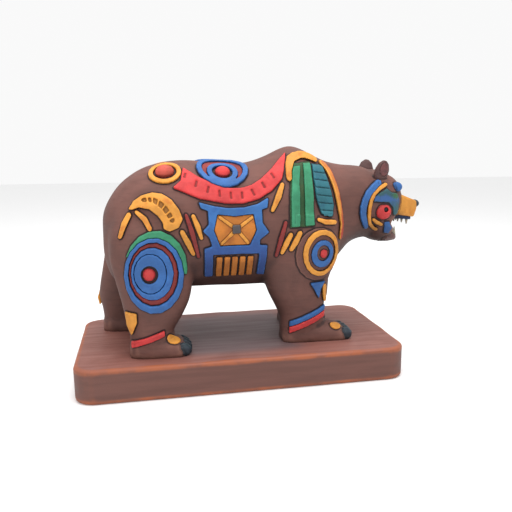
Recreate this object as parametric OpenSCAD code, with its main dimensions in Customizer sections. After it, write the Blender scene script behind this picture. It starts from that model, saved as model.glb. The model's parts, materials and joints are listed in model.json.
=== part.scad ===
// Carved bear with applied relief ornament, standing on a wooden plinth.
// Frame: origin at the centre of the plinth's underside, +X towards the nose, +Z up, near flank at -Y.

/* [Plinth] */
// Length of the plinth
plinth_l = 300; // [260:1:380]
// Width of the plinth
plinth_w = 152; // [140:1:200]
// Height of the plinth
plinth_h = 30.5; // [24:0.5:45]
// Radius of the plinth's upright corners
plinth_corner_r = 18; // [8:1:30]
// Width of the softened edge round the top and bottom
plinth_edge = 1.6; // [0.5:0.1:4]

/* [Bear] */
// Length of the bear from rump to nose
bear_l = 323; // [260:1:390]
// Height of the bear from sole to hump
bear_h = 184; // [150:1:222]
// Width of the bear across the haunches
bear_w = 119; // [98:1:143]
// How far the far hind foot stands behind the near one
hind_stride = 27; // [0:1:34]
// How far the far forefoot stands behind the near one
fore_stride = 8; // [4:1:12]

/* [Relief] */
// Thickness of the thin backing panels
backing = 1.2; // [0.8:0.1:2]
// Thickness of the raised ornament
relief = 2.4; // [2.1:0.1:3.5]
// Width of the groove between neighbouring rings
groove = 0.8; // [0.4:0.1:1.2]

/* [Fixing] */
// Shank diameter of the screws that hold the feet
screw_d = 4; // [3:0.5:5]
// Length of each screw under its head
screw_l = 42; // [38:1:50]
// Depth of the counterbore that hides each screw head
counterbore_depth = 6; // [4:0.5:10]

/* [Hidden] */
ring_sides = 16;
steps = 2;
thick_relief = relief + 0.8;
seam = 0.4;
// How far the far forearm reaches ahead of the near one.
far_arm_lead = 22;

// The form and its ornament are drawn at these sizes, then scaled to the chosen ones.
form_l = 323;
form_h = 184;
form_w = 119;
kx = bear_l / form_l;
ky = bear_w / form_w;
kz = bear_h / form_h;

// Screw places, each under the middle of a foot.
screw_spots = [
  [-82 * kx, -42 * ky],
  [-(82 + hind_stride) * kx, 42 * ky],
  [62 * kx, -29 * ky],
  [(82 - fore_stride) * kx, 29 * ky]
];
screw_head_d = 2 * screw_d;
screw_head_h = 0.75 * screw_d;

// ---- smooth curve through a list of points ----
function curve(a, b, c, d, t) =
  0.5 * (2 * b + (c - a) * t + (2 * a - 5 * b + 4 * c - d) * t * t + (3 * b - a - 3 * c + d) * t * t * t);
function item(list, i) = list[max(0, min(len(list) - 1, i))];
function smooth(list, n) = [
  for (i = [0:len(list) - 2], k = [0:n - 1])
    curve(item(list, i - 1), list[i], list[i + 1], item(list, i + 2), k / n),
  list[len(list) - 1]
];

// ---- lofts ----
function signed_pow(v, p) = sign(v) * pow(abs(v), p);
// A section is [station, centre u, centre v, half u, half v, squareness].
function outline(s, grow) = [
  for (i = [0:ring_sides - 1])
    let (a = 360 * i / ring_sides)
      [
        s[0],
        s[1] + (s[3] + grow) * signed_pow(cos(a), 2 / s[5]),
        s[2] + (s[4] + grow) * signed_pow(sin(a), 2 / s[5])
      ]
];
function moved_station(list, i, grow) =
  let (first = list[0][0], last = list[len(list) - 1][0], middle = (first + last) / 2)
    middle + (list[i][0] - middle) * (1 + 2 * grow / abs(last - first));
module loft_x(list, grow) {
  rows = [
    for (i = [0:len(list) - 1])
      outline([moved_station(list, i, grow), for (k = [1:5]) list[i][k]], grow)
  ];
  n = ring_sides;
  polyhedron(
    points = [for (r = rows) each r],
    faces = [
      [for (i = [0:n - 1]) i],
      for (r = [0:len(rows) - 2], i = [0:n - 1])
        let (a = r * n + i, b = r * n + (i + 1) % n) each [[a, b + n, b], [a, a + n, b + n]],
      [for (i = [0:n - 1]) len(rows) * n - 1 - i]
    ]
  );
}
module loft_z(list, grow) multmatrix([[0, 1, 0, 0], [0, 0, 1, 0], [1, 0, 0, 0]]) loft_x(list, grow);

// ---- the bear's form, heights from the sole ----
// [x, top, bottom, half width]
trunk_line = [
  [-122, 121, 82, 14], [-117, 134, 66, 31], [-108, 147, 57, 43], [-94, 159, 53, 51], [-75, 167.5, 52, 55],
  [-50, 171, 51.5, 55], [-20, 168.5, 51, 52], [10, 168, 50.5, 51], [32, 175, 50, 52], [54, 184, 51, 51],
  [74, 176, 55, 48], [92, 168, 65, 41], [110, 165, 86, 35], [124, 164, 92, 31.5], [135, 160, 92.5, 29]
];
head_line = [
  [129, 152, 98, 22], [136, 160, 91.5, 29], [147, 158.5, 88.5, 29], [154, 154, 91, 26], [158, 148, 97, 20]
];
face_line = [
  [145, 149, 117, 18], [152, 155.5, 110.5, 24.5], [159, 152.5, 110.5, 20],
  [164, 148, 111, 14.5], [168, 141, 113, 9]
];
function lengthwise(line, squareness) = [
  for (s = smooth(line, steps))
    [s[0] * kx, 0, (s[1] + s[2]) / 2 * kz, s[3] * ky, (s[1] - s[2]) / 2 * kz, squareness]
];

// [height, centre x, centre y, half x, half y]
hind_line = [
  [8, -80, 42, 21, 15], [22, -83, 42, 19.5, 16], [36, -80, 42, 25.5, 17], [50, -78, 41, 30, 19],
  [66, -78, 39, 34, 21], [86, -80, 37, 37, 22.5], [110, -82, 34, 34, 23], [135, -82, 28, 24, 18]
];
near_fore_line = [
  [8, 61, 29, 22, 14], [24, 59.5, 30, 21.5, 14.5], [36, 57, 31, 24, 15.5], [54, 53, 32, 29.5, 17.5],
  [75, 56, 33, 33.5, 20], [95, 61, 34, 33.5, 21.5], [120, 62, 33, 30, 20]
];
far_fore_line = [
  [8, 80, 29, 19, 14], [19, 86, 30, 21, 14.5], [26, 90, 30, 23, 15], [38, 90, 31, 23.5, 16],
  [52, 84, 32, 29, 17.5], [75, 68.5, 33, 32, 20], [95, 62, 34, 33.5, 21.5], [120, 62, 33, 30, 20]
];
// Share of the stride taken at a height: all of it at the sole, none at the hip.
function stride_share(z) = max(0, min(1, (100 - z) / 60));
function upright(line, side, stride) = [
  for (s = line)
    let (back = side > 0 ? stride * stride_share(s[0]) : 0)
      [s[0] * kz, (s[1] - back) * kx, side * s[2] * ky, s[3] * kx, s[4] * ky, 2.15]
];

// [x, centre y, top, half width]
hind_paw_line = [
  [-102, 42, 11, 9], [-96, 42, 18, 14], [-84, 42, 21, 16],
  [-68, 42, 18, 17], [-58, 42, 14, 16.5], [-54, 42, 10, 14]
];
fore_paw_line = [
  [40, 29, 10, 9], [46, 29, 16, 13], [64, 29, 19, 15], [82, 29, 17, 16], [97, 29, 13, 16], [103, 29, 9, 13.5]
];
far_fore_paw_line = [
  [60, 29, 10, 9], [65, 29, 16, 13], [76, 29, 19, 15], [88, 29, 17, 16], [98, 29, 13, 16], [103, 29, 9, 13.5]
];
function paw(line, side, stride, from, to) = [
  for (i = [from:to])
    let (s = line[i], back = side > 0 ? stride : 0)
      [(s[0] - back) * kx, side * s[1] * ky, s[2] / 2 * kz - 4, s[3] * ky, s[2] / 2 * kz + 4, 2.4]
];
module paw_form(line, side, stride, grow) {
  hull() loft_x(paw(line, side, stride, 0, 2), grow);
  hull() loft_x(paw(line, side, stride, 2, 5), grow);
}

// The open mouth, as seen from the side: its corner comes first.
mouth_line = [[149.5, 109.4], [157.5, 116], [180, 116], [180, 97], [162, 97.5], [156.5, 103]];
module mouth_gap() scale([kx, 1, kz]) rotate([90, 0, 0])
  linear_extrude(200, center = true) polygon(mouth_line);

module bear_form(grow = 0) translate([0, 0, plinth_h]) difference() {
  union() {
    loft_x(lengthwise(trunk_line, 2.1), grow);
    loft_x(lengthwise(head_line, 2.3), grow);
    loft_x(lengthwise(face_line, 2.4), grow);
    for (side = [-1, 1]) {
      loft_z(upright(hind_line, side, hind_stride), grow);
      loft_z(upright(side < 0 ? near_fore_line : far_fore_line, side, fore_stride), grow);
      paw_form(hind_paw_line, side, hind_stride, grow);
      paw_form(side < 0 ? fore_paw_line : far_fore_paw_line, side, fore_stride, grow);
    }
  }
  mouth_gap();
  translate([-400, -200, -400]) cube([800, 400, 400]);
}

// ---- ornament: a flat outline pushed through the layer that lies on the bear ----
// The outline is drawn as seen from the near flank, or from above it by the tilt.
module push_through(tilt, inner) translate([0, 0, plinth_h]) scale([kx, ky, kz]) intersection() {
  multmatrix([[1, 0, 0, 0], [0, sin(tilt), -cos(tilt), 0], [0, cos(tilt), sin(tilt), 0]])
    linear_extrude(300) children();
  translate([-400, -100 - inner, -10]) cube([800, 100, 300]);
}
module applied(low, high, tilt = 0, inner = seam) for (side = [-1, 1]) {
  $side = side;
  intersection() {
    difference() {
      bear_form(high);
      bear_form(low);
    }
    mirror([0, side > 0 ? 1 : 0, 0]) push_through(tilt, inner) children();
  }
}
// On the far leg the outline leans back with the stride.
module leaning(stride) {
  slope = $side > 0 ? stride / 60 : 0;
  multmatrix([[1, slope, 0, -slope * 100], [0, 1, 0, 0], [0, 0, 1, 0]]) children();
}
module stepped_back(stride) translate([$side > 0 ? -stride : 0, 0]) children();

// A stroke is a list of [x, height, half width], with a blunt point at each end.
function heading(path, i) =
  let (a = item(path, i - 1), b = item(path, i + 1), d = [b[0] - a[0], b[1] - a[1]]) d / norm(d);
function edge_point(path, i, hand) =
  let (t = heading(path, i), p = path[i]) [p[0] - hand * t[1] * p[2], p[1] + hand * t[0] * p[2]];
function end_point(path, i, way) =
  let (t = heading(path, i), p = path[i]) [p[0] + way * 0.8 * t[0] * p[2], p[1] + way * 0.8 * t[1] * p[2]];
module stroke(points) {
  path = smooth(points, len(points) > 3 ? 2 : 1);
  n = len(path) - 1;
  polygon([
    for (i = [0:n]) edge_point(path, i, 1),
    end_point(path, n, 1),
    for (i = [n:-1:0]) edge_point(path, i, -1),
    end_point(path, 0, -1)
  ]);
}
module oval(centre, radii) translate(centre) scale(radii) circle(1, $fn = 18);
module oval_ring(centre, radii, inner_centre, inner_radii) difference() {
  oval(centre, radii);
  oval(inner_centre, inner_radii);
}

// A boss is a flattened ball let down onto the layer below it.
module boss(centre, radii, stride = 0, low = 0) difference() {
  for (side = [-1, 1])
    translate([
      (centre[0] - (side > 0 ? stride * stride_share(centre[2]) : 0)) * kx,
      side * centre[1] * ky,
      plinth_h + centre[2] * kz
    ]) scale([radii[0] * kx, radii[1], radii[2] * kz]) sphere(1, $fn = 12);
  bear_form(low);
}

// ---- plinth and fixing ----
module plinth_corner_column() {
  cylinder(r1 = plinth_corner_r - plinth_edge, r2 = plinth_corner_r, h = plinth_edge, $fn = 72);
  translate([0, 0, plinth_edge]) cylinder(r = plinth_corner_r, h = plinth_h - 2 * plinth_edge, $fn = 72);
  translate([0, 0, plinth_h - plinth_edge])
    cylinder(r1 = plinth_corner_r, r2 = plinth_corner_r - plinth_edge, h = plinth_edge, $fn = 72);
}
// A bar as long and as wide as given, with its four long edges bevelled.
module bevelled_bar(long, wide) rotate([90, 0, 90]) translate([0, 0, -long / 2]) linear_extrude(long)
  polygon([
    [-wide / 2 + plinth_edge, 0],
    [wide / 2 - plinth_edge, 0],
    [wide / 2, plinth_edge],
    [wide / 2, plinth_h - plinth_edge],
    [wide / 2 - plinth_edge, plinth_h],
    [-wide / 2 + plinth_edge, plinth_h],
    [-wide / 2, plinth_h - plinth_edge],
    [-wide / 2, plinth_edge]
  ]);
module plinth() color("saddlebrown") difference() {
  union() {
    bevelled_bar(plinth_l - 2 * plinth_corner_r, plinth_w);
    rotate([0, 0, 90]) bevelled_bar(plinth_w - 2 * plinth_corner_r, plinth_l);
    for (x = [-1, 1], y = [-1, 1])
      translate([x * (plinth_l / 2 - plinth_corner_r), y * (plinth_w / 2 - plinth_corner_r), 0])
        plinth_corner_column();
  }
  for (p = screw_spots) translate([p[0], p[1], 0]) {
    translate([0, 0, -1]) cylinder(d = screw_head_d + 1, h = counterbore_depth + 1, $fn = 40);
    cylinder(d = screw_d + 0.4, h = plinth_h + 1, $fn = 40);
  }
}
module foot_screw() difference() {
  union() {
    translate([0, 0, -screw_head_h]) cylinder(d = screw_head_d, h = screw_head_h, $fn = 40);
    cylinder(d = screw_d, h = screw_l - screw_d, $fn = 40);
    translate([0, 0, screw_l - screw_d]) cylinder(d1 = screw_d, d2 = 0.6, h = screw_d, $fn = 40);
  }
  for (a = [0, 90]) rotate([0, 0, a]) translate([-screw_head_d / 4, -0.5, -screw_head_h - 1])
    cube([screw_head_d / 2, 1, screw_head_h / 2 + 1]);
}
module foot_screws() color("silver")
  for (p = screw_spots) translate([p[0], p[1], counterbore_depth]) foot_screw();
module bear_body() color("sienna") difference() {
  bear_form();
  for (p = screw_spots) translate([p[0], p[1], plinth_h - 1])
    cylinder(d = screw_d + 0.2, h = counterbore_depth + screw_l - plinth_h + 2, $fn = 24);
}

// ---- head ----
module placed(centre) for (side = [-1, 1])
  translate([centre[0] * kx, side * centre[1] * ky, plinth_h + centre[2] * kz])
    mirror([0, side > 0 ? 1 : 0, 0]) children();
module ear_shell() rotate([14, 8, 12]) scale([8, 4, 12]) sphere(1, $fn = 12);
module ear_dish() translate([2, -3.4, 3]) rotate([14, 8, 12]) scale([5.4, 3, 7.2]) sphere(1, $fn = 10);
module ears() color("sienna") difference() {
  placed([141, 20, 158]) ear_shell();
  placed([141, 20, 158]) ear_dish();
  bear_form();
}
module ear_linings() color("indianred") difference() {
  intersection() {
    placed([141, 20, 158]) ear_shell();
    placed([141, 20, 158]) ear_dish();
    placed([141, 20, 158])
      translate([1.4, -2.2, 3]) rotate([14, 8, 12]) scale([6, 3, 8]) sphere(1, $fn = 10);
  }
  bear_form();
}
// A slice of the muzzle at x, with its lower and upper edge as [height, half width].
module muzzle_slice(x, low, high, soft) translate([x, 0, 0]) rotate([90, 0, 90]) linear_extrude(1)
  offset(soft, $fn = 8) polygon([[-low[1], low[0]], [low[1], low[0]], [high[1], high[0]], [-high[1], high[0]]]);
module muzzle_form() translate([0, 0, plinth_h]) scale([kx, ky, kz]) hull() {
  muzzle_slice(161, [119, 12], [134.5, 10], 3);
  muzzle_slice(181.5, [114.5, 7.5], [120, 7], 2);
  muzzle_slice(185, [122, 5.5], [126.5, 5], 2);
}
module muzzle() color("orange") difference() {
  muzzle_form();
  bear_form();
}
module nose() color("darkslategray") difference() {
  translate([187 * kx, 0, plinth_h + 125.2 * kz]) scale([4.6, 5.6, 4]) sphere(1, $fn = 12);
  muzzle_form();
}
function gum_bottom(x) = 112.5 - 0.11 * (x - 154);
module gum_form() translate([0, 0, plinth_h]) scale([kx, ky, kz]) hull() {
  translate([154, -13, gum_bottom(154)]) cube([1, 26, 7]);
  translate([179, -7, gum_bottom(179)]) cube([1, 14, 5]);
}
module upper_gum() color("midnightblue") difference() {
  gum_form();
  bear_form();
  muzzle_form();
}
// [x, y, length, radius] for the teeth on one side
upper_tooth_line = [[160.5, 9.6, 3, 1.5], [165.5, 8.4, 3, 1.5], [170.5, 7.2, 3.2, 1.5], [176.3, 5.6, 5, 1.7]];
lower_tooth_line = [[157.5, 10, 8.5, 1.6], [160.6, 8, 5, 1.6], [163.5, 5.5, 6, 1.7]];
module upper_teeth() color("ivory") difference() {
  for (t = upper_tooth_line) placed([t[0], t[1], gum_bottom(t[0])]) translate([0, 0, -t[2]])
    cylinder(r1 = 0.5, r2 = t[3], h = t[2] + 1.5, $fn = 8);
  gum_form();
  bear_form();
}
module jaw_form() translate([0, 0, plinth_h]) scale([kx, ky, kz]) hull() {
  translate([150, 0, 95.5]) scale([1, 2.6, 1]) sphere(7.5, $fn = 12);
  translate([157, 0, 94]) scale([1, 2.3, 1]) sphere(6.3, $fn = 12);
  translate([162.5, 0, 92.3]) scale([1, 2.2, 1]) sphere(4, $fn = 12);
}
module lower_jaw() color("rosybrown") difference() {
  jaw_form();
  bear_form();
}
module lower_teeth() color("ivory") difference() {
  for (t = lower_tooth_line) placed([t[0], t[1], 94]) cylinder(r1 = t[3], r2 = 0.5, h = t[2] + 2.5, $fn = 8);
  jaw_form();
  bear_form();
}
module eye_well(r) placed([142.5, 30, 123]) rotate([90, 0, 0]) cylinder(r = r, h = 30, center = true, $fn = 12);
module eye_rings() color("crimson") difference() {
  boss([141, 27.5, 121], [8.3, 5.2, 7.8]);
  eye_well(2.6);
}
module pupils() color("black") intersection() {
  applied(0, backing) square(400, center = true);
  eye_well(2.3);
}
module brows() color("royalblue") boss([157.5, 18, 143.5], [6.2, 5, 5]);
module mask_bands() color("royalblue") applied(0, relief)
  stroke([[137.5, 149, 2.4], [124, 139.5, 3], [118, 126, 3.2], [119, 116, 3], [124, 106.5, 2]]);
module mask_trims() color("orange") applied(0, relief) {
  stroke([[144, 147, 1.4], [130, 138.5, 1.7], [124.8, 125, 1.6], [127, 110, 1.6], [136, 103.5, 1.2]]);
  stroke([[130, 114, 1.2], [134.5, 111, 1.6], [139.5, 108.5, 1.2]]);
}
module cheek_panels() color("teal") applied(0, backing)
  polygon([
    [129.5, 131], [131, 135.5], [144, 143], [149, 139], [157.5, 137.5], [161, 131],
    [160, 120], [154.5, 117], [151.5, 118], [150.5, 125], [146, 129.8]
  ]);
module jaw_patches() color("royalblue") applied(0, backing)
  polygon([[142, 111], [147.6, 111], [148.4, 108.4], [152, 104.6], [149, 99], [144, 100]]);

// ---- feet ----
module toes(first, stride, radii) color("darkslategray") difference() {
  for (side = [-1, 1], i = [-1.5:1:1.5])
    let (back = side > 0 ? stride : 0)
      translate([(first[0] - abs(i) - back) * kx, side * (first[1] + i * 7.5) * ky, plinth_h + 5 * kz])
        scale([radii[0], radii[1] * ky, radii[2]]) sphere(1, $fn = 8);
  bear_form();
  translate([-400, -200, 0]) cube([800, 400, plinth_h]);
}
module hind_toes() toes([-56, 42], hind_stride, [10, 4.6, 7]);
module fore_toes() toes([102.5, 29], fore_stride, [7, 4.6, 6.5]);
// The far ankle covers the place of the fourth patch.
module toe_patches() color("orange") {
  applied(0, backing, 45, 34) stepped_back(hind_stride) oval([-64, -27], [6, 4.5]);
  applied(0, backing, 45, 20) if ($side < 0) oval([91, -18], [5.5, 4.5]);
}

// ---- rump and back ----
saddle_top_line = [
  [-50, 97], [-38, 85], [-26, 78], [-15, 74.2], [0, 74.5], [9, 77], [18, 82], [30, 93], [45, 111]
];
saddle_low_line = [
  [43, 101], [40, 90], [37, 80], [27, 70.5], [15, 64.5], [0, 61], [-15, 61], [-38, 64], [-60, 73.5], [-53, 80]
];
module saddle_outline() polygon(concat(saddle_top_line, saddle_low_line));
// Notches hang from the upper edge: [x, height] of the middle of each
saddle_notches = [
  [-49, 86], [-40, 77], [-30, 72], [-20, 69], [-10, 67.5], [0, 67.5], [10, 70], [20, 76], [29, 84]
];
module saddles() color("crimson") {
  applied(0, backing, 45) saddle_outline();
  applied(backing - 0.2, relief, 45) difference() {
    saddle_outline();
    for (p = saddle_notches)
      translate(p) rotate(p[0] < -20 ? -15 : p[0] > 5 ? 20 : 0) square([2.6, 7], center = true);
  }
}
module rump_rings() color("orange") applied(0, relief, 45)
  oval_ring([-66, 92.5], [14.2, 14.2], [-66, 92.5], [10.4, 10.4]);
module rump_domes() color("firebrick") boss([-66, 30.5, 161], [8.4, 6.4, 6.4]);
module back_blue_rings() color("royalblue") applied(0, thick_relief, 45) {
  oval_ring([-14.5, 98], [23.5, 22.8], [-14.5, 98], [19, 18.4]);
  oval_ring([-15, 93], [14, 14], [-15, 93], [9.6, 9.6]);
}
module back_red_fills() color("firebrick") applied(0, backing, 45) {
  difference() {
    oval([-14.5, 98], [18.8, 18.2]);
    oval([-15, 93], [14.2, 14.2]);
  }
}
module back_domes() color("crimson") boss([-15, 28, 159.5], [7.2, 6, 6]);

// ---- haunch ----
crescent_outer = [
  [-98, 131], [-94, 137], [-87, 142], [-78, 144.5], [-70, 143.5],
  [-62, 138.5], [-56, 130], [-53.5, 122.5], [-57, 115.5], [-65, 112.5]
];
crescent_inner = [[-69.5, 115], [-70, 120], [-74, 126], [-81, 131.5], [-89, 133], [-95, 131]];
module crescent_outline() polygon(concat(crescent_outer, crescent_inner));
// Bars cross the crescent's groove: [x, turn]
crescent_bars = [[-82, 10], [-78, 0], [-73.5, -18], [-69.5, -35], [-66, -50], [-63.5, -60]];
function bar_height(x) = 138.5 - pow(max(0, x + 80), 2) / 18;
module hip_crescents() color("orange") {
  applied(0, backing) crescent_outline();
  applied(backing - 0.2, thick_relief) difference() {
    crescent_outline();
    difference() {
      stroke([[-86, 138.5, 1.8], [-77, 138.5, 2.2], [-68, 132, 2.4], [-62, 121, 2.2]]);
      for (t = crescent_bars)
        translate([t[0], bar_height(t[0])]) rotate(t[1]) square([1, 9], center = true);
    }
  }
}
module short_hip_stroke() stroke([[-92, 129, 1.4], [-85.5, 123.5, 2.2], [-81, 114.5, 1.8]]);
// One more stroke runs down behind the far haunch.
module hip_strokes() color("orange") {
  applied(0, relief) {
    stroke([[-97.5, 127, 1.7], [-102, 119, 2.2], [-106.5, 108, 1.6]]);
    short_hip_stroke();
    stroke([[-54.5, 112, 1.8], [-49.5, 102, 2.4], [-44.5, 91, 1.6]]);
    stroke([[-44.5, 125, 1.6], [-40.5, 115, 2.2], [-37.5, 105, 1.4]]);
  }
  applied(0, relief + 1, 0, 18) if ($side > 0)
    stroke([[-111.5, 130, 1.8], [-116.5, 116, 2.4], [-119, 99, 2]]);
}
module hip_red_strokes() color("firebrick") applied(0, relief)
  stroke([[-50.5, 126, 1.2], [-45.5, 110, 2], [-40, 88, 1.2]]);
// The green arc lies against the upper side of the blue ring.
module hip_green_arcs() color("seagreen") applied(0, relief, 0, 30) difference() {
  leaning(hind_stride) difference() {
    intersection() {
      oval([-77, 79.5], [26.5, 34]);
      polygon([[-104, 93], [-48, 73], [-40, 120], [-104, 120]]);
    }
    oval([-79, 75], [25 + seam, 32.5 + seam]);
  }
  offset(delta = seam) crescent_outline();
  offset(delta = seam) short_hip_stroke();
}
module hip_blue_rings() color("royalblue") applied(0, thick_relief, 0, 30) leaning(hind_stride) {
  oval_ring([-79, 75], [25, 32.5], [-79.5, 76.5], [20.5 + groove, 27 + groove]);
  oval_ring([-80.5, 77], [17.5, 22.5], [-82.3, 77.3], [13.3 + groove, 16.8 + groove]);
  oval_ring([-82.3, 77.3], [13.3, 16.8], [-83, 76.5], [7.4, 8]);
}
module hip_red_rings() color("firebrick") applied(0, backing, 0, 30) leaning(hind_stride)
  oval_ring([-79.5, 76.5], [20.5, 27], [-80.5, 77], [17.5 + groove / 2, 22.5 + groove / 2]);
module hip_domes() color("crimson") boss([-83, 57.5, 76.5], [6.3, 5.5, 6.5], hind_stride);
module hip_drops() color("orange") applied(0, relief, 0, 42) leaning(hind_stride)
  polygon([[-105, 43], [-95, 42], [-95, 34], [-100, 22], [-104, 31]]);
module anklets() color("crimson") applied(0, relief, 0, 41) stepped_back(hind_stride) intersection() {
  translate([-86, 18]) rotate(19) square([60, 5], center = true);
  translate([-100.5, 9.5]) square([28.5, 40]);
}

// ---- belly ----
frame_line = [
  [-39, 136], [-27, 132.5], [-15, 130.3], [0, 130.3], [13, 133], [23, 138.5], [21.5, 130],
  [16.5, 128.5], [17, 116.5], [22.5, 108.5], [14.5, 102], [14.5, 97], [21.5, 96.5], [20.5, 68],
  [14, 68], [14.5, 89.5], [-27.5, 90], [-27, 68.5], [-34, 68.5], [-35, 95.5], [-28, 97.5],
  [-30.5, 105.5], [-36, 111.5], [-31, 116.5], [-31, 128.5], [-37, 131]
];
window_line = [[-23, 125], [-8, 123], [9, 124.5], [11.5, 110.5], [5.5, 97.5], [-21, 97.5], [-26.5, 111.5]];
module belly_frames() color("royalblue") applied(0, relief) difference() {
  polygon(frame_line);
  offset(0.3) polygon(window_line);
}
module belly_panels() color("orange") applied(0, backing) offset(-0.2) polygon(window_line);
rib_middle = [-6.5, 112];
module belly_ribs() color("darkorange") applied(backing, relief) difference() {
  for (p = [[-21.5, 123], [8, 122], [4, 99.5], [-20, 99.5]])
    stroke([[p[0], p[1], 1.3], [rib_middle[0], rib_middle[1], 1.6]]);
  translate(rib_middle) square([7.4, 7.4], center = true);
}
module belly_blocks() color("dimgray") applied(backing, thick_relief) translate(rib_middle)
  square([7, 7], center = true);
module belly_bars() color("darkorange") applied(0, relief)
  for (x = [-21.5, -14.5, -7.5, -0.5, 6.5]) translate([x, 77.5]) square([4.8, 19], center = true);

// ---- flank and shoulder ----
module flank_strokes() color("orange") applied(0, relief) {
  stroke([[37, 150, 1.6], [32, 139, 2.4], [26, 127, 1.4]]);
  stroke([[43, 106, 1.8], [39, 98, 2.2], [35, 88.5, 1.4]]);
  stroke([[51, 107.5, 1.8], [47, 99.5, 2.2], [42.5, 91.5, 1.4]]);
}
module flank_red_strokes() color("firebrick") applied(0, relief)
  stroke([[38, 117, 1.4], [34, 102, 2], [30, 86, 1.2]]);
arch_line = [
  [43.5, 154, 2.2], [44, 162, 2.6], [48, 171.5, 3.2], [57, 175.5, 3.2], [66, 174, 3], [73, 170.5, 2.4]
];
module green_backings() color("darkgreen") applied(0, backing) difference() {
  polygon([[47, 167.5], [65.5, 169], [64.5, 150], [64, 113], [42, 111.5], [42.5, 140]]);
  offset(delta = seam) stroke(arch_line);
}
module green_strips() color("seagreen") applied(backing, thick_relief) difference() {
  union() {
    polygon([[47.5, 165], [54.5, 166], [51.5, 150], [50.5, 113], [43, 112.5], [43.5, 140]]);
    polygon([[57.5, 167.5], [64.5, 168], [64, 150], [63.5, 114], [55.5, 113.5], [56, 145]]);
  }
  offset(delta = seam) stroke(arch_line);
}
teal_line = [
  [67, 167], [78, 165.5], [82, 149.5], [85.5, 130], [83.5, 120.5], [72, 122], [67, 137.5], [66, 156.5]
];
module teal_panels() color("teal") {
  applied(0, backing) polygon(teal_line);
  applied(backing - 0.2, relief) intersection() {
    offset(delta = -0.6) polygon(teal_line);
    for (z = [120:6.6:166]) translate([76, z + 2.6]) rotate(-8) square([30, 5], center = true);
  }
}
module shoulder_arches() color("orange") applied(0, relief) stroke(arch_line);
module collar_bands() color("orange") applied(0, relief)
  stroke([
    [78.5, 168.5, 2.4], [84, 161.5, 2.6], [88, 148, 2.4], [91.5, 130, 2.1], [94, 112.5, 1.8], [92.5, 99, 1.4]
  ]);
module shoulder_hooks() color("orange") applied(0, relief)
  stroke([[68, 118.8, 1.6], [75, 116, 2.2], [85.5, 115, 2]]);
module shoulder_discs() color("sienna") applied(0, backing, 0, 36) oval([69, 86.5], [22, 24.5]);
module shoulder_rings() color("orange") applied(backing, thick_relief + 0.4, 0, 28)
  oval_ring([71, 88], [17.8, 21.5], [71.5, 87.7], [14, 17.2]);
module shoulder_blue_rings() color("royalblue") applied(backing, thick_relief, 0, 15)
  oval_ring([72, 87.2], [11, 12.7], [72.5, 88], [6.4, 7.6]);
module shoulder_domes() color("crimson") boss([72.5, 50, 88], [5.2, 6.6, 6.2], 0, backing);
module forearm_patches() color("royalblue") applied(0, relief, 0, 24) stepped_back(-far_arm_lead)
  polygon([[62, 59.5], [77.5, 60], [73, 53], [71.5, 44], [67, 52]]);
module forearm_strokes() color("orange") applied(0, relief, 0, 32) stepped_back(-far_arm_lead)
  stroke([[77, 56, 1.8], [78, 48, 2.1], [79, 40, 1.4]]);
module wrist_slab(low, high) translate([62, 25.5]) rotate(23) translate([-40, low])
  square([80, high - low]);
module wrist_bands(low, high) applied(0, relief, 0, 29) stepped_back(-far_arm_lead) intersection() {
  wrist_slab(low, high);
  translate([45, 10]) square([34, 45]);
}
module wrist_bands_blue() color("royalblue") wrist_bands(-1.5, 3);
module wrist_bands_red() color("crimson") wrist_bands(-7.5, -2.1);

plinth();
foot_screws();
bear_body();
ears();
ear_linings();
muzzle();
nose();
upper_gum();
upper_teeth();
lower_jaw();
lower_teeth();
eye_rings();
pupils();
brows();
mask_bands();
mask_trims();
cheek_panels();
jaw_patches();
hind_toes();
fore_toes();
toe_patches();
saddles();
rump_rings();
rump_domes();
back_blue_rings();
back_red_fills();
back_domes();
hip_crescents();
hip_strokes();
hip_red_strokes();
hip_green_arcs();
hip_blue_rings();
hip_red_rings();
hip_domes();
hip_drops();
anklets();
belly_frames();
belly_panels();
belly_ribs();
belly_blocks();
belly_bars();
flank_strokes();
flank_red_strokes();
green_backings();
green_strips();
teal_panels();
shoulder_arches();
collar_bands();
shoulder_hooks();
shoulder_discs();
shoulder_rings();
shoulder_blue_rings();
shoulder_domes();
forearm_patches();
forearm_strokes();
wrist_bands_blue();
wrist_bands_red();
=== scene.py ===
"""Looks for the carved and painted bear on its plinth.

The bear's skin and every raised ornament are remade from the CAD nodes as fine, softly rounded surfaces.
Everything is in metres, in the CAD frame: +X to the nose, the near flank at -Y, +Z up.
"""
import json
import math

import bmesh
import bpy
import numpy as np
from mathutils import Euler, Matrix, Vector, noise
from mathutils.bvhtree import BVHTree
from mathutils.kdtree import KDTree


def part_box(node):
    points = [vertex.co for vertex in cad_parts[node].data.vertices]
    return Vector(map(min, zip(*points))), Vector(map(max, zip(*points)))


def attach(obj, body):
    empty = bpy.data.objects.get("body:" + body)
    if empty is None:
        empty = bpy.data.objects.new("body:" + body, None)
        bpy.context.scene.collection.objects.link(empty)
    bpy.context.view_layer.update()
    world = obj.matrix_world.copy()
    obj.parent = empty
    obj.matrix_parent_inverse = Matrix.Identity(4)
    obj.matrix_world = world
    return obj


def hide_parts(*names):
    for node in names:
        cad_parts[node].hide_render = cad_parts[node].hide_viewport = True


MM = 0.001

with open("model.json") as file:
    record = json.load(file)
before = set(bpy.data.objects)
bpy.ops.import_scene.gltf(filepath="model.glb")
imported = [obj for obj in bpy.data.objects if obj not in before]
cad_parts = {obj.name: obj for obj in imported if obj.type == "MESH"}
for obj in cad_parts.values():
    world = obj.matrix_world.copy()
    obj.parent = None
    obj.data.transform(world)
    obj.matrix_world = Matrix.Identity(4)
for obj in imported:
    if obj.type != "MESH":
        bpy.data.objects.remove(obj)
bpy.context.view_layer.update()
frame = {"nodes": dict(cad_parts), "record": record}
nodes = frame["nodes"]

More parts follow.
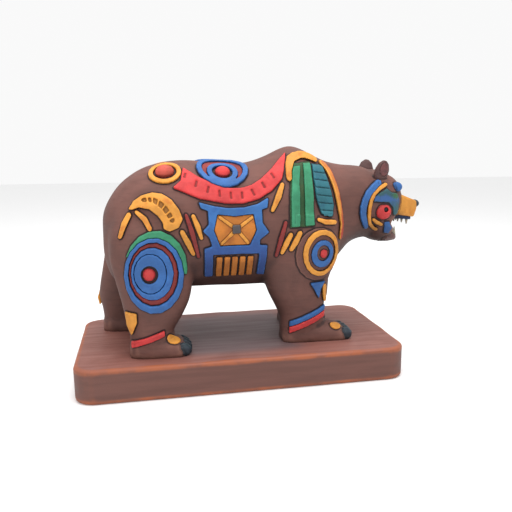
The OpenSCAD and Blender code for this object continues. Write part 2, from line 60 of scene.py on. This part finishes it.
plinth_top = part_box("plinth")[1].z
bear_low, bear_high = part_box("bear_body")


# ---- colours ----
def srgb(red, green, blue):
    """A linear colour from screen values of 0 to 255."""
    channels = []
    for value in (red, green, blue):
        c = value / 255
        channels.append(c / 12.92 if c <= 0.04045 else ((c + 0.055) / 1.055) ** 2.4)
    return (*channels, 1.0)


# ---- mesh tools ----
def new_piece(name, mesh):
    piece = bpy.data.objects.new(name, mesh)
    bpy.context.scene.collection.objects.link(piece)
    return piece


def welded_copy(node, name):
    """A copy of a CAD node's mesh with its split corners joined again."""
    mesh = nodes[node].data.copy()
    mesh.materials.clear()
    work = bmesh.new()
    work.from_mesh(mesh)
    bmesh.ops.remove_doubles(work, verts=work.verts, dist=2e-6)
    work.to_mesh(mesh)
    work.free()
    return new_piece(name, mesh)


def loose_parts(mesh):
    """The mesh's unconnected parts, each as its corners and faces."""
    work = bmesh.new()
    work.from_mesh(mesh)
    waiting = set(work.verts)
    parts = []
    while waiting:
        start = waiting.pop()
        part, front = [start], [start]
        while front:
            for edge in front.pop().link_edges:
                for vert in edge.verts:
                    if vert in waiting:
                        waiting.remove(vert)
                        part.append(vert)
                        front.append(vert)
        place = {vert: i for i, vert in enumerate(part)}
        faces = {face for vert in part for face in vert.link_faces}
        faces = sorted(faces, key=lambda face: face.index)
        corners = [vert.co.copy() for vert in part]
        parts.append((corners, [[place[vert] for vert in face.verts] for face in faces]))
    work.free()
    return parts


def remeshed_by_part(piece, voxel):
    """Remeshes each loose part alone, so that narrow gaps between parts stay open."""
    corners, faces = [], []
    for part_corners, part_faces in loose_parts(piece.data):
        part_mesh = bpy.data.meshes.new("part")
        part_mesh.from_pydata(part_corners, [], part_faces)
        part = remeshed(new_piece("part", part_mesh), voxel)
        start = len(corners)
        corners.extend(tuple(v.co) for v in part.data.vertices)
        faces.extend(tuple(start + k for k in polygon.vertices) for polygon in part.data.polygons)
        bpy.data.objects.remove(part)
    old = piece.data
    piece.data = bpy.data.meshes.new(piece.name)
    piece.data.from_pydata(corners, [], faces)
    bpy.data.meshes.remove(old)
    return piece


def remeshed(piece, voxel):
    """Replaces the piece's mesh by an even grid of small faces."""
    grid = piece.modifiers.new("grid", "REMESH")
    grid.mode = "VOXEL"
    grid.voxel_size = voxel
    grid.use_smooth_shade = True
    seen = piece.evaluated_get(bpy.context.evaluated_depsgraph_get())
    mesh = bpy.data.meshes.new_from_object(seen)
    piece.modifiers.clear()
    old = piece.data
    piece.data = mesh
    bpy.data.meshes.remove(old)
    mesh.name = piece.name
    return piece


def points_of(mesh):
    points = np.empty(len(mesh.vertices) * 3, np.float32)
    mesh.vertices.foreach_get("co", points)
    return points.reshape(-1, 3).astype(float)


def set_points(mesh, points):
    mesh.vertices.foreach_set("co", points.astype(np.float32).ravel())
    mesh.update()


def edges_of(mesh):
    edges = np.empty(len(mesh.edges) * 2, np.int32)
    mesh.edges.foreach_get("vertices", edges)
    return edges.reshape(-1, 2)


def normals_of(mesh):
    normals = np.empty(len(mesh.vertices) * 3, np.float32)
    mesh.vertex_normals.foreach_get("vector", normals)
    return normals.reshape(-1, 3).astype(float)


def neighbour_mean(values, edges):
    """Each vertex's mean over the vertices that its edges lead to."""
    count = len(values)
    shared = np.maximum(np.bincount(edges.ravel(), minlength=count), 1)
    wide = values.reshape(count, -1)
    total = np.empty_like(wide)
    for k in range(wide.shape[1]):
        column = wide[:, k]
        total[:, k] = np.bincount(edges[:, 0], column[edges[:, 1]], count)
        total[:, k] += np.bincount(edges[:, 1], column[edges[:, 0]], count)
    return (total / shared[:, None]).reshape(values.shape)


def smoothed(values, edges, rounds, share=0.5):
    for _ in range(rounds):
        values = values + share * (neighbour_mean(values, edges) - values)
    return values


def full_smoothed(points, edges, rounds, share=0.5):
    """Smoothing that gives back most of the volume that plain smoothing takes."""
    once = smoothed(points, edges, rounds, share)
    return once + smoothed(points - once, edges, rounds, share)


def smoothstep(values, low, high):
    t = np.clip((values - low) / (high - low), 0, 1)
    return t * t * (3 - 2 * t)


def store(mesh, name, values):
    attribute = mesh.attributes.new(name, "FLOAT", "POINT")
    attribute.data.foreach_set("value", np.asarray(values, np.float32))


def store_ridges(mesh, scale):
    """Keeps how far each vertex stands out of its neighbours' plane, from -1 in a groove to 1 on an edge."""
    points = points_of(mesh)
    edges = edges_of(mesh)
    lean = ((points - neighbour_mean(points, edges)) * normals_of(mesh)).sum(1)
    lean = smoothed(lean, edges, 3)
    store(mesh, "ridge", np.clip(lean / scale, -1, 1))


def hand_worked(points, normals, height, size, seed):
    """Shallow unevenness, as a tool or a thumb leaves."""
    shift = Vector((seed * 3.7, seed * 1.9, seed * 5.3))
    wave = [noise.noise(Vector(p) / size + shift) for p in points]
    return points + normals * (np.array(wave) * height)[:, None]


def finished(piece, node, material):
    piece.data.materials.clear()
    piece.data.materials.append(material)
    piece.data.shade_smooth()
    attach(piece, "root")
    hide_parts(node)


# ---- materials ----
class Shader:
    """One material's node tree, with short calls for the nodes used here."""

    def __init__(self, name):
        self.material = bpy.data.materials.new(name)
        self.material.use_nodes = True
        self.tree = self.material.node_tree
        self.surface = self.tree.nodes["Principled BSDF"]
        self.place = self.tree.nodes.new("ShaderNodeTexCoord").outputs["Object"]

    def set(self, socket, value):
        if isinstance(value, bpy.types.NodeSocket):
            self.tree.links.new(value, socket)
        else:
            socket.default_value = value

    def attribute(self, name):
        node = self.tree.nodes.new("ShaderNodeAttribute")
        node.attribute_name = name
        return node.outputs["Fac"]

    def stretched(self, scale):
        node = self.tree.nodes.new("ShaderNodeMapping")
        self.set(node.inputs["Vector"], self.place)
        node.inputs["Scale"].default_value = scale
        return node.outputs["Vector"]

    def noise(self, scale, detail=3.0, roughness=0.55, distortion=0.0, vector=None):
        node = self.tree.nodes.new("ShaderNodeTexNoise")
        self.set(node.inputs["Vector"], vector or self.place)
        node.inputs["Scale"].default_value = scale
        node.inputs["Detail"].default_value = detail
        node.inputs["Roughness"].default_value = roughness
        node.inputs["Distortion"].default_value = distortion
        return node.outputs["Fac"]

    def ranged(self, value, low, high, to_low=0.0, to_high=1.0):
        node = self.tree.nodes.new("ShaderNodeMapRange")
        node.interpolation_type = "SMOOTHSTEP"
        self.set(node.inputs["Value"], value)
        node.inputs["From Min"].default_value = low
        node.inputs["From Max"].default_value = high
        node.inputs["To Min"].default_value = to_low
        node.inputs["To Max"].default_value = to_high
        return node.outputs["Result"]

    def math(self, operation, a, b=0.0):
        node = self.tree.nodes.new("ShaderNodeMath")
        node.operation = operation
        self.set(node.inputs[0], a)
        self.set(node.inputs[1], b)
        return node.outputs["Value"]

    def mix(self, share, a, b):
        node = self.tree.nodes.new("ShaderNodeMix")
        node.data_type = "RGBA"
        self.set(node.inputs["Factor"], share)
        self.set(node.inputs["A"], a)
        self.set(node.inputs["B"], b)
        return node.outputs["Result"]

    def axis(self, name, vector=None):
        node = self.tree.nodes.new("ShaderNodeSeparateXYZ")
        self.set(node.inputs["Vector"], vector or self.place)
        return node.outputs[name]

    def scaled(self, colour, factor):
        node = self.tree.nodes.new("ShaderNodeHueSaturation")
        self.set(node.inputs["Color"], colour)
        self.set(node.inputs["Value"], factor)
        return node.outputs["Color"]

    def sky_shade_and_highlight(self, colour, lowest=0.3):
        """Painted shade and highlight by the share of open sky: darker on undersides and between the legs,
        paler on top.
        """
        sky = self.attribute("sky")
        low = self.ranged(sky, 0.02, 0.5, lowest, 1.0)
        high = self.ranged(sky, 0.5, 1.0, 0.0, 0.3)
        return self.scaled(colour, self.math("ADD", low, high))

    def bump(self, height, distance, strength=1.0):
        node = self.tree.nodes.new("ShaderNodeBump")
        self.set(node.inputs["Height"], height)
        node.inputs["Distance"].default_value = distance
        node.inputs["Strength"].default_value = strength
        return node.outputs["Normal"]

    def finish(self, colour, roughness, normal=None, specular=0.35):
        self.set(self.surface.inputs["Base Color"], colour)
        self.set(self.surface.inputs["Roughness"], roughness)
        self.surface.inputs["Specular IOR Level"].default_value = specular
        if normal is not None:
            self.set(self.surface.inputs["Normal"], normal)
        return self.material


# The paints' share of the colour named for them: the studio light is strong.
paint_strength = 0.69


def shade_of(colour, factor):
    return (*(c * factor for c in colour[:3]), 1.0)


def painted(name, colour, deep=0.35, wear_and_highlight=1.5, tint=None, roughness=0.62, marks=None):
    """Thick matte paint: brushed; darker in its grooves, at its foot and beside other pieces, as painted
    shade with a dark wash in the joints; lighter on its edges, partly rubbed and partly painted highlight.

    marks(shader, base) paints a second colour on it by place.
    """
    s = Shader(name)
    colour = shade_of(colour, paint_strength)
    patches = s.noise(70, 3)
    streaks = s.noise(1.0, 4, vector=s.stretched((260, 90, 900)))
    base = s.mix(s.ranged(patches, 0.35, 0.68), shade_of(colour, 0.86), shade_of(colour, 1.12))
    base = s.mix(s.ranged(streaks, 0.5, 0.75, 0, 0.35), base, shade_of(colour, 0.72))
    if tint:
        base = s.mix(s.ranged(s.noise(110, 2), 0.5, 0.72, 0, 0.8), base, shade_of(tint, paint_strength))
    if marks:
        base = marks(s, base)
    # Darker in grooves and at the foot: painted shade, with a dark wash in the grooves.
    groove = s.ranged(s.attribute("ridge"), -0.5, 0.0, 1, 0)
    foot = s.ranged(s.attribute("rise"), 0.3, 0.85, 1, 0)
    # Painted contact shade beside other pieces, together with a dark wash in the joint.
    contact_shade = s.ranged(s.attribute("halo"), 0.2, 0.8)
    hollow_shade_and_wash = s.math("MAXIMUM", s.math("MAXIMUM", groove, foot), contact_shade)
    base = s.mix(s.math("MULTIPLY", hollow_shade_and_wash, 0.85), base, shade_of(colour, deep))
    patchy = s.ranged(s.noise(420, 3), 0.4, 0.7, 0.1, 0.6)
    # Lighter on edges: partly rubbed paint, partly painted highlight.
    edge = s.math("MULTIPLY", s.ranged(s.attribute("ridge"), 0.25, 0.9), patchy)
    # Painted shade where little sky is seen, painted highlight on top.
    base = s.sky_shade_and_highlight(s.mix(edge, base, shade_of(colour, wear_and_highlight)), 0.4)
    grain = s.noise(1400, 3)
    height = s.math("ADD", s.math("MULTIPLY", grain, 0.4), s.math("MULTIPLY", streaks, 0.7))
    dullness = s.ranged(grain, 0.3, 0.7, roughness - 0.08, roughness + 0.1)
    return s.finish(base, dullness, s.bump(height, 0.25 * MM))


def bear_skin():
    """Dark brown stained wood with faint strokes, nearly black in the lines beside the ornament and dark in
    its grooves, as painted shade with a dark wash; lighter on its edges, partly wear and partly painted
    highlight.
    """
    s = Shader("bear_skin")
    brown = srgb(97, 64, 57)
    patches = s.noise(38, 4, distortion=0.4)
    strokes = s.noise(1.0, 4, vector=s.stretched((60, 60, 320)))
    base = s.mix(s.ranged(patches, 0.3, 0.7), shade_of(brown, 0.84), shade_of(brown, 1.14))
    base = s.mix(s.ranged(strokes, 0.45, 0.8, 0, 0.5), base, srgb(78, 51, 46))
    # Nearly black beside the ornament: painted contact shade together with a dark wash.
    contact_shade = s.ranged(s.attribute("halo"), 0.15, 0.75)
    base = s.mix(s.math("MULTIPLY", contact_shade, 0.9), base, srgb(34, 22, 24))
    # Dark in grooves: painted shade with a dark wash.
    groove = s.ranged(s.attribute("ridge"), -0.6, -0.05, 0.7, 0)
    base = s.mix(groove, base, srgb(40, 27, 27))
    # Lighter on edges: partly wear, partly painted highlight.
    edge = s.math("MULTIPLY", s.ranged(s.attribute("ridge"), 0.3, 1.0), 0.35)
    # Painted shade where little sky is seen, painted highlight on top.
    base = s.sky_shade_and_highlight(s.mix(edge, base, srgb(140, 98, 84)))
    grain = s.noise(1200, 3)
    height = s.math("ADD", s.math("MULTIPLY", grain, 0.4), strokes)
    return s.finish(base, s.ranged(patches, 0.3, 0.7, 0.6, 0.74), s.bump(height, 0.3 * MM), specular=0.3)


def plinth_wood():
    """Reddish stained wood, painted lighter on top than on the sides, grey with painted shade between the
    legs, and rubbed to orange along its rims, partly painted highlight.
    """
    s = Shader("plinth_wood")
    grain = s.noise(1.0, 5, vector=s.stretched((14, 190, 190)))
    cloud = s.noise(16, 3, distortion=0.3)
    # The top is painted lighter than the sides of the same wood: painted light from above.
    side = s.mix(s.ranged(grain, 0.3, 0.7), srgb(92, 59, 51), srgb(103, 68, 60))
    top = s.mix(s.ranged(cloud, 0.35, 0.65), srgb(126, 78, 68), srgb(142, 94, 84))
    top = s.mix(s.ranged(grain, 0.42, 0.75, 0, 0.4), top, srgb(108, 66, 58))
    # Painted shade under the belly: the top turns grey between the legs.
    across = s.math("ADD", s.axis("X"), s.math("MULTIPLY", cloud, 0.03))
    middle = s.math(
        "MULTIPLY",
        s.ranged(across, -0.075, -0.02),
        s.ranged(across, 0.06, 0.085, 1, 0),
    )
    middle = s.math("MULTIPLY", middle, s.ranged(s.axis("Y"), -0.066, -0.045))
    middle = s.math("MULTIPLY", middle, s.ranged(s.axis("Y"), 0.05, 0.07, 1, 0.3))
    top = s.mix(s.math("MULTIPLY", middle, 0.85), top, srgb(104, 88, 90))
    colour = s.mix(s.ranged(s.axis("Z"), plinth_top - 2.4 * MM, plinth_top - 0.8 * MM), side, top)
    # Orange on the edges: partly rubbed wood, partly painted highlight.
    patchy = s.ranged(s.noise(60, 3), 0.3, 0.7, 0.3, 0.85)
    rub_and_highlight = s.math("MULTIPLY", s.ranged(s.attribute("ridge"), 0.1, 0.7), patchy)
    colour = s.mix(rub_and_highlight, colour, srgb(158, 86, 52))
    fine = s.noise(900, 3)
    height = s.math("ADD", s.math("MULTIPLY", fine, 0.35), grain)
    return s.finish(colour, s.ranged(grain, 0.3, 0.7, 0.5, 0.66), s.bump(height, 0.3 * MM), specular=0.35)


def zinc_steel():
    s = Shader("zinc_steel")
    turned = s.noise(1.0, 3, vector=s.stretched((900, 900, 90)))
    s.surface.inputs["Metallic"].default_value = 1.0
    colour = s.mix(s.ranged(turned, 0.3, 0.7), srgb(168, 170, 172), srgb(204, 205, 204))
    return s.finish(colour, s.ranged(turned, 0.3, 0.7, 0.28, 0.45), s.bump(turned, 0.05 * MM))


paints = {
    "orange_paint": painted("orange_paint", srgb(230, 156, 62), 0.3, 1.35, srgb(206, 122, 44)),
    "dark_orange_paint": painted("dark_orange_paint", srgb(208, 126, 46), 0.28, 1.35, srgb(176, 98, 38)),
    "blue_paint": painted("blue_paint", srgb(54, 106, 172), 0.25, 1.5, srgb(44, 92, 158)),
    "navy_paint": painted("navy_paint", srgb(34, 52, 92), 0.4, 1.5),
    "red_paint": painted("red_paint", srgb(214, 62, 62), 0.3, 1.4, srgb(190, 50, 52)),
    "dark_red_paint": painted("dark_red_paint", srgb(142, 50, 46), 0.35, 1.5, srgb(118, 42, 42)),
    "green_paint": painted("green_paint", srgb(58, 146, 106), 0.28, 1.4, srgb(48, 128, 88)),
    "dark_green_paint": painted("dark_green_paint", srgb(44, 84, 46), 0.4, 1.5, srgb(62, 78, 40)),
    "teal_paint": painted("teal_paint", srgb(46, 112, 124), 0.22, 1.5, srgb(40, 98, 120)),
    "slate_paint": painted("slate_paint", srgb(48, 58, 68), 0.4, 1.7, srgb(58, 84, 84), 0.5),
    "black_paint": painted("black_paint", srgb(30, 24, 28), 0.5, 1.6, None, 0.5),
    "grey_paint": painted("grey_paint", srgb(88, 82, 84), 0.4, 1.4),
    "pink_paint": painted("pink_paint", srgb(138, 96, 92), 0.35, 1.5, srgb(116, 74, 72)),
    "ivory_paint": painted("ivory_paint", srgb(216, 204, 184), 0.4, 1.2, srgb(188, 168, 142), 0.45),
}
paints["wood_body"] = bear_skin()


def cheek_marks(s, base):
    """Blue below the middle, green at the top and at the muzzle, over teal."""
    cloud = s.math("MULTIPLY", s.math("SUBTRACT", s.noise(160, 2), 0.5), 0.012)
    height = s.math("ADD", s.axis("Z"), cloud)
    low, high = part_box("cheek_panels")
    blue = s.ranged(height, low.z + 8 * MM, high.z - 11 * MM)
    blue = s.math("MULTIPLY", blue, s.ranged(height, high.z - 9 * MM, high.z - 5 * MM, 1, 0))
    base = s.mix(s.math("MULTIPLY", blue, 0.8), base, shade_of(srgb(60, 100, 165), paint_strength))
    green = s.ranged(s.math("ADD", s.axis("X"), cloud), high.x - 12 * MM, high.x - 6 * MM)
    green = s.math("MULTIPLY", green, s.ranged(height, high.z - 12 * MM, high.z - 7 * MM))
    return s.mix(s.math("MULTIPLY", green, 0.85), base, shade_of(srgb(58, 108, 62), paint_strength))


def collar_marks(s, base):
    """Red on the edge that faces the head."""
    normal = s.tree.nodes.new("ShaderNodeTexCoord").outputs["Normal"]
    red = s.ranged(s.axis("X", normal), 0.25, 0.6)
    return s.mix(red, base, shade_of(srgb(178, 56, 44), paint_strength))


def frame_marks(s, base):
    """A deeper blue toward the belly."""
    low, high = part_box("belly_frames")
    lower = s.ranged(s.axis("Z"), low.z + 15 * MM, high.z - 15 * MM, 0.8, 0)
    return s.mix(lower, base, shade_of(srgb(46, 74, 146), paint_strength))


own_paints = {
    "cheek_panels": painted(
        "cheek_paint", srgb(52, 96, 104), 0.3, 1.4, srgb(50, 84, 92), marks=cheek_marks
    ),
    "collar_bands": painted(
        "collar_paint", srgb(232, 158, 66), 0.3, 1.3, srgb(214, 134, 52), marks=collar_marks
    ),
    "belly_frames": painted(
        "frame_paint", srgb(56, 112, 178), 0.25, 1.5, srgb(46, 96, 164), marks=frame_marks
    ),
    "rump_domes": painted("faded_red_paint", srgb(196, 84, 70), 0.4, 1.4, srgb(128, 84, 52)),
    "ears": painted("ear_brown", srgb(88, 60, 58), 0.4, 1.4, srgb(72, 48, 48)),
    "ear_linings": painted("ear_lining_brown", srgb(112, 66, 66), 0.4, 1.3, srgb(82, 52, 54)),
}

node_slots = {row["node"]: row["material_slot"] for row in frame["record"]["subparts"]}


# ---- the skin ----
def surface_tree(mesh):
    faces = [tuple(polygon.vertices) for polygon in mesh.polygons]
    return BVHTree.FromPolygons([tuple(v.co) for v in mesh.vertices], faces)


def make_skin():
    skin = remeshed(welded_copy("bear_body", "bear_skin"), 1.3 * MM)
    mesh = skin.data
    points = points_of(mesh)
    edges = edges_of(mesh)
    height = points[:, 2] - plinth_top
    detail = np.maximum(
        smoothstep(points[:, 0], 118 * MM, 140 * MM),
        smoothstep(height, 34 * MM, 18 * MM),
    )
    share = (0.5 - 0.42 * detail)[:, None]
    shaped = full_smoothed(points, edges, 90, share)
    set_points(mesh, shaped)
    shaped = shaped + normals_of(mesh) * (0.45 * MM)
    shaped = hand_worked(shaped, normals_of(mesh), 0.35 * MM, 22 * MM, 1)
    sole = smoothstep(height, 1.6 * MM, 0.4 * MM)
    shaped[:, 2] = shaped[:, 2] * (1 - sole) + (plinth_top - 0.3 * MM) * sole
    set_points(mesh, shaped)
    return skin


skin = make_skin()
cad_tree = surface_tree(nodes["bear_body"].data)
skin_tree = surface_tree(skin.data)


# ---- ornament, features and toes ----
def heights_over(tree, points):
    found = np.empty(len(points))
    for i, p in enumerate(points):
        spot, normal, _, gap = tree.find_nearest(p)
        found[i] = gap if (Vector(p) - spot).dot(normal) > 0 else -gap
    return found


def laid_on_skin(points, heights, sink):
    """Moves points from their height over the CAD form to the same height over the skin."""
    laid = np.empty_like(points)
    for i, p in enumerate(points):
        spot, normal, _, _ = skin_tree.find_nearest(p)
        buried = sink * max(0.0, 1 - heights[i] / (0.6 * MM))
        laid[i] = spot + normal * (heights[i] - buried)
    return laid


def make_relief(node, voxel=0.55, rounds=5, swell=0.15):
    piece = remeshed_by_part(welded_copy(node, "clay_" + node), voxel * MM)
    mesh = piece.data
    points = points_of(mesh)
    edges = edges_of(mesh)
    heights = heights_over(cad_tree, points)
    rise = np.clip(heights / heights.max(), 0, 1)
    laid = laid_on_skin(points, np.maximum(heights, 0), 0.7 * MM)
    laid = smoothed(laid, edges, rounds)
    set_points(mesh, laid)
    laid = laid + normals_of(mesh) * (swell * MM)
    laid = hand_worked(laid, normals_of(mesh), 0.16 * MM, 6 * MM, len(node))
    set_points(mesh, laid)
    store(mesh, "rise", np.clip(rise * 1.6, 0, 1))
    store_ridges(mesh, 0.05 * MM)
    finished(piece, node, own_paints.get(node) or paints[node_slots[node]])
    return piece


def make_feature(node, voxel, rounds, swell, sink):
    """A feature that stands in the form, such as an ear or a tooth: its foot is pushed into the skin."""
    piece = remeshed_by_part(welded_copy(node, "clay_" + node), voxel * MM)
    mesh = piece.data
    points = points_of(mesh)
    edges = edges_of(mesh)
    heights = heights_over(cad_tree, points)
    foot = smoothstep(heights, 0.8 * MM, 0.2 * MM)
    points = full_smoothed(points, edges, rounds)
    set_points(mesh, points)
    points = points + normals_of(mesh) * ((swell * MM) + (sink * MM) * foot)[:, None]
    set_points(mesh, points)
    store(mesh, "rise", smoothstep(heights, 0, 2.5 * MM))
    store_ridges(mesh, 0.05 * MM)
    finished(piece, node, own_paints.get(node) or paints[node_slots[node]])
    return piece


features = {
    # node: (voxel, smoothing rounds, swelling, depth of its foot in the skin), in mm
    "ears": (0.6, 6, 0.1, 1.0),
    "ear_linings": (0.5, 3, 0.1, 0.6),
    "muzzle": (0.7, 8, 0.1, 1.0),
    "nose": (0.6, 5, 0.1, 0.8),
    "upper_gum": (0.5, 4, 0.0, 0.5),
    "upper_teeth": (0.35, 3, 0.1, 0.4),
    "lower_jaw": (0.6, 8, 0.1, 1.0),
    "lower_teeth": (0.35, 3, 0.1, 0.4),
    "hind_toes": (0.6, 6, 0.1, 1.0),
    "fore_toes": (0.6, 6, 0.1, 1.0),
}
made = [make_feature(node, *sizes) for node, sizes in features.items()]
for node in nodes:
    if node not in features and node not in ("plinth", "foot_screws", "bear_body"):
        made.append(make_relief(node))


# ---- dark lines beside the ornament: painted contact shade with a dark wash ----
def halo_on(piece, others, reach, full):
    """Keeps how near each vertex is to another piece that doesn't lie under it: 1 at full, 0 at reach."""
    corners, faces = [], []
    for other in others:
        start = len(corners)
        corners.extend(tuple(v.co) for v in other.data.vertices)
        faces.extend(tuple(start + k for k in polygon.vertices) for polygon in other.data.polygons)
    points = points_of(piece.data)
    halo = np.zeros(len(points))
    if faces:
        tree = BVHTree.FromPolygons(corners, faces)
        for i, (p, normal) in enumerate(zip(points, normals_of(piece.data))):
            spot, _, _, gap = tree.find_nearest(p, reach)
            if spot is not None and (spot - Vector(p)).dot(Vector(normal)) > -0.3 * MM:
                halo[i] = 1 - smoothstep(gap, full, reach)
    store(piece.data, "halo", halo)


def touches(piece, other, gap):
    a, b = points_of(piece.data), points_of(other.data)
    return bool((a.min(0) - gap < b.max(0)).all() and (b.min(0) - gap < a.max(0)).all())


halo_on(skin, made, 2.4 * MM, 0.3 * MM)
for piece in made:
    near = [other for other in made if other is not piece and touches(piece, other, 2 * MM)]
    halo_on(piece, near, 1.3 * MM, 0.2 * MM)


# ---- how much sky each place sees ----
def sky_directions():
    """Even directions over the upper half of the sky."""
    count = 40
    turn = math.pi * (3 - math.sqrt(5))
    directions = []
    for k in range(count):
        up = (k + 0.5) / count
        flat = math.sqrt(1 - up * up)
        directions.append(Vector((flat * math.cos(k * turn), flat * math.sin(k * turn), up)))
    return directions


def sky_samples():
    """Samples of the skin, each with its share of open sky, from 0 under the belly to 1 on the back."""
    step = 9
    points = points_of(skin.data)[::step]
    normals = normals_of(skin.data)[::step]
    directions = sky_directions()
    whole = sum(direction.z for direction in directions)
    tree = KDTree(len(points))
    shares = np.zeros(len(points))
    for i, (p, normal) in enumerate(zip(points, normals)):
        tree.insert(p, i)
        normal = Vector(normal)
        start = Vector(p) + normal * (0.6 * MM)
        for direction in directions:
            facing = normal.dot(direction)
            if facing > 0 and skin_tree.ray_cast(start, direction)[0] is None:
                shares[i] += facing / whole
    tree.balance()
    return tree, shares


def store_sky(piece, tree, shares):
    near = [[found[1] for found in tree.find_n(p, 5)] for p in points_of(piece.data)]
    sky = shares[np.array(near)].mean(axis=1)
    store(piece.data, "sky", smoothed(sky, edges_of(piece.data), 4))


# Painted shade and highlight: these shares darken the paints where little sky is seen and lighten them on
# top.
sky_tree, sky_shares = sky_samples()
for piece in [skin, *made]:
    store_sky(piece, sky_tree, sky_shares)

store_ridges(skin.data, 0.06 * MM)
finished(skin, "bear_body", paints["wood_body"])


# ---- plinth and screws ----
def make_plinth():
    piece = remeshed(welded_copy("plinth", "plinth_board"), 1.3 * MM)
    mesh = piece.data
    points = points_of(mesh)
    edges = edges_of(mesh)
    points = full_smoothed(points, edges, 4)
    set_points(mesh, points)
    free = smoothstep(points[:, 2], 2 * MM, 6 * MM)[:, None]
    moved = hand_worked(points, normals_of(mesh), 0.5 * MM, 30 * MM, 4)
    set_points(mesh, points + (moved - points) * free)
    store_ridges(mesh, 0.08 * MM)
    finished(piece, "plinth", plinth_wood())


make_plinth()
nodes["foot_screws"].data.materials.clear()
nodes["foot_screws"].data.materials.append(zinc_steel())


# ---- stage, lights and camera ----
def make_stage():
    floor_mesh = bpy.data.meshes.new("floor")
    reach = 3.0
    floor_mesh.from_pydata(
        [(-reach, -reach, 0), (reach, -reach, 0), (reach, reach, 0), (-reach, reach, 0)], [], [(0, 1, 2, 3)]
    )
    floor = new_piece("floor", floor_mesh)
    s = Shader("pale_floor")
    floor.data.materials.append(s.finish((0.9, 0.9, 0.9, 1), 0.9, specular=0.1))
    floor.location.z = -0.05 * MM
    world = bpy.data.worlds.new("studio")
    bpy.context.scene.world = world
    world.use_nodes = True
    sky = world.node_tree.nodes["Background"]
    sky.inputs["Color"].default_value = (1, 1, 1, 1)
    sky.inputs["Strength"].default_value = 0.95


def add_light(name, place, aim, size, power, colour=(1, 1, 1)):
    lamp = bpy.data.lights.new(name, "AREA")
    lamp.shape = "DISK"
    lamp.size = size
    lamp.energy = power
    lamp.color = colour
    light = bpy.data.objects.new(name, lamp)
    light.location = place
    light.rotation_euler = (Vector(place) - Vector(aim)).to_track_quat("Z", "Y").to_euler()
    bpy.context.scene.collection.objects.link(light)


def make_camera():
    azimuth, elevation, roll = math.radians(-11.43), math.radians(10.87), math.radians(-0.22)
    aim = Vector((21.4 * MM, 0, 107.6 * MM))
    distance = 0.5655
    back = Vector(
        (
            math.sin(azimuth) * math.cos(elevation),
            -math.cos(azimuth) * math.cos(elevation),
            math.sin(elevation),
        )
    )
    lens = bpy.data.cameras.new("camera")
    lens.sensor_width = 36
    lens.lens = 40.4
    lens.clip_start = 0.01
    camera = bpy.data.objects.new("camera", lens)
    camera.location = aim + back * distance
    turn = back.to_track_quat("Z", "Y") @ Euler((0, 0, roll)).to_quaternion()
    camera.rotation_euler = turn.to_euler()
    bpy.context.scene.collection.objects.link(camera)
    bpy.context.scene.camera = camera


make_stage()
add_light("top", (0.05, -0.15, 1.1), (0, 0, 0.1), 0.9, 9)
add_light("front", (-0.5, -1.0, 0.6), (0, 0, 0.1), 0.8, 3)
make_camera()
bpy.context.scene.view_settings.view_transform = "Standard"
